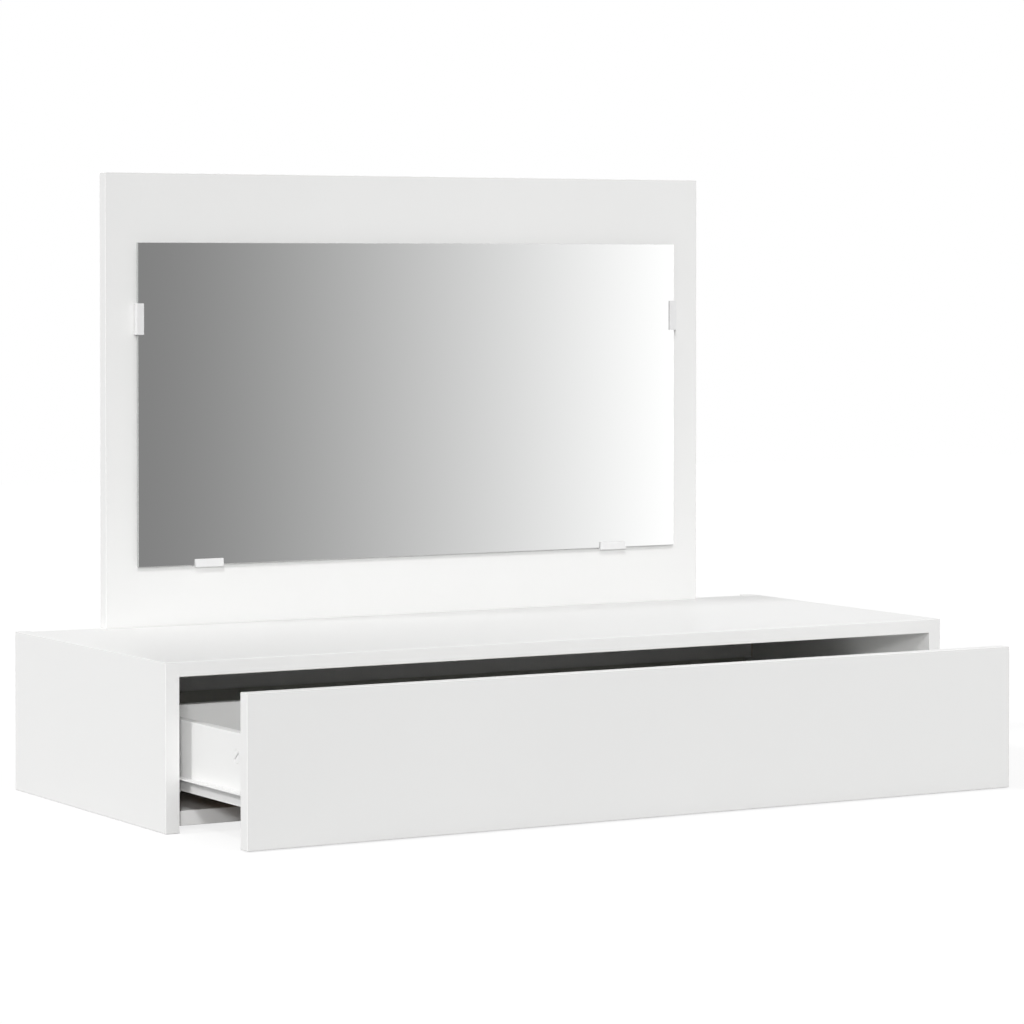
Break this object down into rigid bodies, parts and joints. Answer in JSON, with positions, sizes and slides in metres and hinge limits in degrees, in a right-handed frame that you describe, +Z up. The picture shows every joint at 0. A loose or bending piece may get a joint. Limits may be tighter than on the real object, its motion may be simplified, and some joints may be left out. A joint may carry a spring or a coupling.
{
  "type": "wall-hung dressing table with mirror",
  "caption": "Wide white case with an inset handleless drawer on roller runners, and an upright board at the rear that carries a frameless mirror in plastic clips.",
  "frame": {"origin": "middle of the part's bounding box at the level of the case sides' lower edges, with the drawer open as in the picture", "axes": "+X to the right along the case, +Y to the wall, +Z up; the drawer opens towards -Y"},
  "size_m": [1, 0.5558, 0.7003],
  "materials": {
    "white_melamine": "satin white melamine on chipboard",
    "white_drawer_board": "satin white foil on chipboard",
    "white_hardboard": "white lacquered hardboard",
    "silvered_glass": "polished float glass, silvered behind",
    "white_plastic": "smooth moulded plastic",
    "white_coated_steel": "white epoxy coat",
    "white_nylon": "smooth moulded nylon",
    "zinc_plated_steel": "bright zinc plate",
    "beech_dowel": "plain turned beech"
  },
  "bodies": {
    "case": {"left_side_panel": "white_melamine", "right_side_panel": "white_melamine", "top_panel": "white_melamine", "bottom_panel": "white_melamine", "back_panel": "white_hardboard", "hanging_rail": "white_melamine", "mirror_board": "white_melamine", "mirror_glass": "silvered_glass", "mirror_clip_left": "white_plastic", "mirror_clip_right": "white_plastic", "mirror_clip_bottom_left": "white_plastic", "mirror_clip_bottom_right": "white_plastic", "mirror_clip_screw_left": "zinc_plated_steel", "mirror_clip_screw_right": "zinc_plated_steel", "mirror_clip_screw_bottom_left": "zinc_plated_steel", "mirror_clip_screw_bottom_right": "zinc_plated_steel", "mirror_board_screw_left": "zinc_plated_steel", "mirror_board_screw_middle": "zinc_plated_steel", "mirror_board_screw_right": "zinc_plated_steel", "top_cam_lock_left_front": "zinc_plated_steel", "top_cam_lock_left_rear": "zinc_plated_steel", "top_cam_lock_right_front": "zinc_plated_steel", "top_cam_lock_right_rear": "zinc_plated_steel", "top_cam_bolt_left_front": "zinc_plated_steel", "top_cam_bolt_left_rear": "zinc_plated_steel", "top_cam_bolt_right_front": "zinc_plated_steel", "top_cam_bolt_right_rear": "zinc_plated_steel", "bottom_dowel_left_front": "beech_dowel", "bottom_dowel_left_rear": "beech_dowel", "bottom_dowel_right_front": "beech_dowel", "bottom_dowel_right_rear": "beech_dowel", "rail_dowel_left": "beech_dowel", "rail_dowel_right": "beech_dowel", "left_case_runner": "white_coated_steel", "right_case_runner": "white_coated_steel", "case_runner_screw_left_front": "zinc_plated_steel", "case_runner_screw_left_rear": "zinc_plated_steel", "case_runner_screw_right_front": "zinc_plated_steel", "case_runner_screw_right_rear": "zinc_plated_steel"},
    "drawer": {"drawer_front": "white_melamine", "drawer_left_side": "white_drawer_board", "drawer_right_side": "white_drawer_board", "drawer_back": "white_drawer_board", "drawer_bottom": "white_hardboard", "drawer_cam_lock_left": "zinc_plated_steel", "drawer_cam_lock_right": "zinc_plated_steel", "drawer_cam_bolt_left": "zinc_plated_steel", "drawer_cam_bolt_right": "zinc_plated_steel", "drawer_back_screw_left": "zinc_plated_steel", "drawer_back_screw_right": "zinc_plated_steel", "left_drawer_runner": "white_coated_steel", "right_drawer_runner": "white_coated_steel", "drawer_runner_screw_left_front": "zinc_plated_steel", "drawer_runner_screw_left_rear": "zinc_plated_steel", "drawer_runner_screw_right_front": "zinc_plated_steel", "drawer_runner_screw_right_rear": "zinc_plated_steel"},
    "case_roller_left": {"left_case_roller": "white_nylon"},
    "case_roller_right": {"right_case_roller": "white_nylon"},
    "drawer_roller_left": {"left_drawer_roller": "white_nylon"},
    "drawer_roller_right": {"right_drawer_roller": "white_nylon"}
  },
  "joints": [
    {"name": "drawer_slide", "type": "slide", "parent": "case", "child": "drawer", "axis": [0, -1, 0], "range_m": [-0.1558, 0.0692]},
    {"name": "case_roller_left_spin", "type": "hinge", "parent": "case", "child": "case_roller_left", "pos_m": [-0.4775, -0.0941, 0.0491], "axis": [1, 0, 0], "continuous": true},
    {"name": "case_roller_right_spin", "type": "hinge", "parent": "case", "child": "case_roller_right", "pos_m": [0.4775, -0.0941, 0.0491], "axis": [1, 0, 0], "continuous": true},
    {"name": "drawer_roller_left_spin", "type": "hinge", "parent": "drawer", "child": "drawer_roller_left", "pos_m": [-0.4775, 0.0288, 0.0485], "axis": [1, 0, 0], "continuous": true},
    {"name": "drawer_roller_right_spin", "type": "hinge", "parent": "drawer", "child": "drawer_roller_right", "pos_m": [0.4775, 0.0288, 0.0485], "axis": [1, 0, 0], "continuous": true}
  ],
  "couplings": [
    {"joint": "case_roller_left_spin", "follows": "drawer_slide", "rad_per_m": 166.67},
    {"joint": "case_roller_right_spin", "follows": "drawer_slide", "rad_per_m": 166.67},
    {"joint": "drawer_roller_left_spin", "follows": "drawer_slide", "rad_per_m": 166.67},
    {"joint": "drawer_roller_right_spin", "follows": "drawer_slide", "rad_per_m": 166.67}
  ]
}
